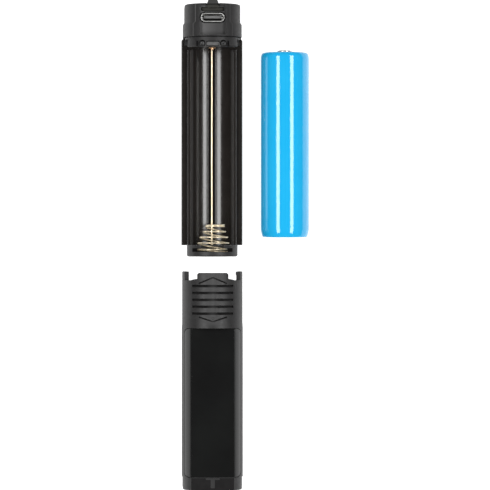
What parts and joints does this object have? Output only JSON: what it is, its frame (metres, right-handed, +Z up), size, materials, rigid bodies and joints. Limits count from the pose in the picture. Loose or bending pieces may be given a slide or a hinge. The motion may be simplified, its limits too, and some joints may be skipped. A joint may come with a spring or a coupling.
{
  "type": "counterfeit detector pen",
  "caption": "Pen-type rechargeable detector torch laid out taken apart: light body with battery tray, slide-on cover, cell and port flap.",
  "frame": {"origin": "middle of the battery tray's flat back, on the table plane", "axes": "+Y along the pen towards its light end, +X to the right, +Z up from the flat back to the round front"},
  "size_m": [0.0479, 0.1917, 0.0279],
  "materials": {
    "matte_body": "fine matte moulded black",
    "gloss_body": "glossy moulded black",
    "gloss_window": "polished black",
    "flap_rubber": "soft matte",
    "steel": "nickel plated",
    "mirror_metal": "vacuum metallised",
    "gold": "gold flashed spring steel",
    "blue_film": "shrink film over metal",
    "fibre": "pressed fibre",
    "board": "solder mask",
    "led": "ceramic package with a clear dome",
    "dark_glass": "dark filter glass"
  },
  "bodies": {
    "light_body": {"head_cap": "matte_body", "neck_frame": "matte_body", "neck_screw_left": "steel", "neck_screw_right": "steel", "contact_tab": "steel", "positive_contact": "gold", "battery_tray": "gloss_body", "end_cup": "matte_body", "contact_spring": "gold", "spring_plate": "steel", "return_wire": "gold", "uv_led": "led", "reflector": "mirror_metal", "lens_seal": "flap_rubber", "uv_glass": "dark_glass", "lens_ring": "steel", "main_board": "board", "usb_shell": "steel", "usb_tongue": "gloss_body", "tact_switch": "steel", "flap_anchor": "flap_rubber"},
    "flap": {"port_flap": "flap_rubber"},
    "button": {"push_button": "flap_rubber"},
    "cover": {"cover_shell": "matte_body", "cover_window": "gloss_window"},
    "cell": {"cell_wrapper": "blue_film", "cell_can": "steel", "cell_button": "steel", "cell_insulator": "fibre", "cell_base_plate": "steel"}
  },
  "joints": [
    {"name": "cover_slide", "type": "slide", "parent": "light_body", "child": "cover", "axis": [0, 1, 0], "range_m": [0, 0.0859]},
    {"name": "cell_swing", "type": "hinge", "parent": "light_body", "child": "cell", "pos_m": [0.01375, 0, 0.0115], "axis": [0, -1, 0], "range_deg": [0, 189.84], "deforming": ["contact_spring"]},
    {"name": "flap_hinge", "type": "hinge", "parent": "light_body", "child": "flap", "pos_m": [0, 0.05085, 0.0246], "axis": [1, 0, 0], "range_deg": [0, 180]},
    {"name": "button_press", "type": "slide", "parent": "light_body", "child": "button", "axis": [0, -1, 0], "range_m": [0, 0.0003], "stiffness_N_per_m": 800}
  ]
}
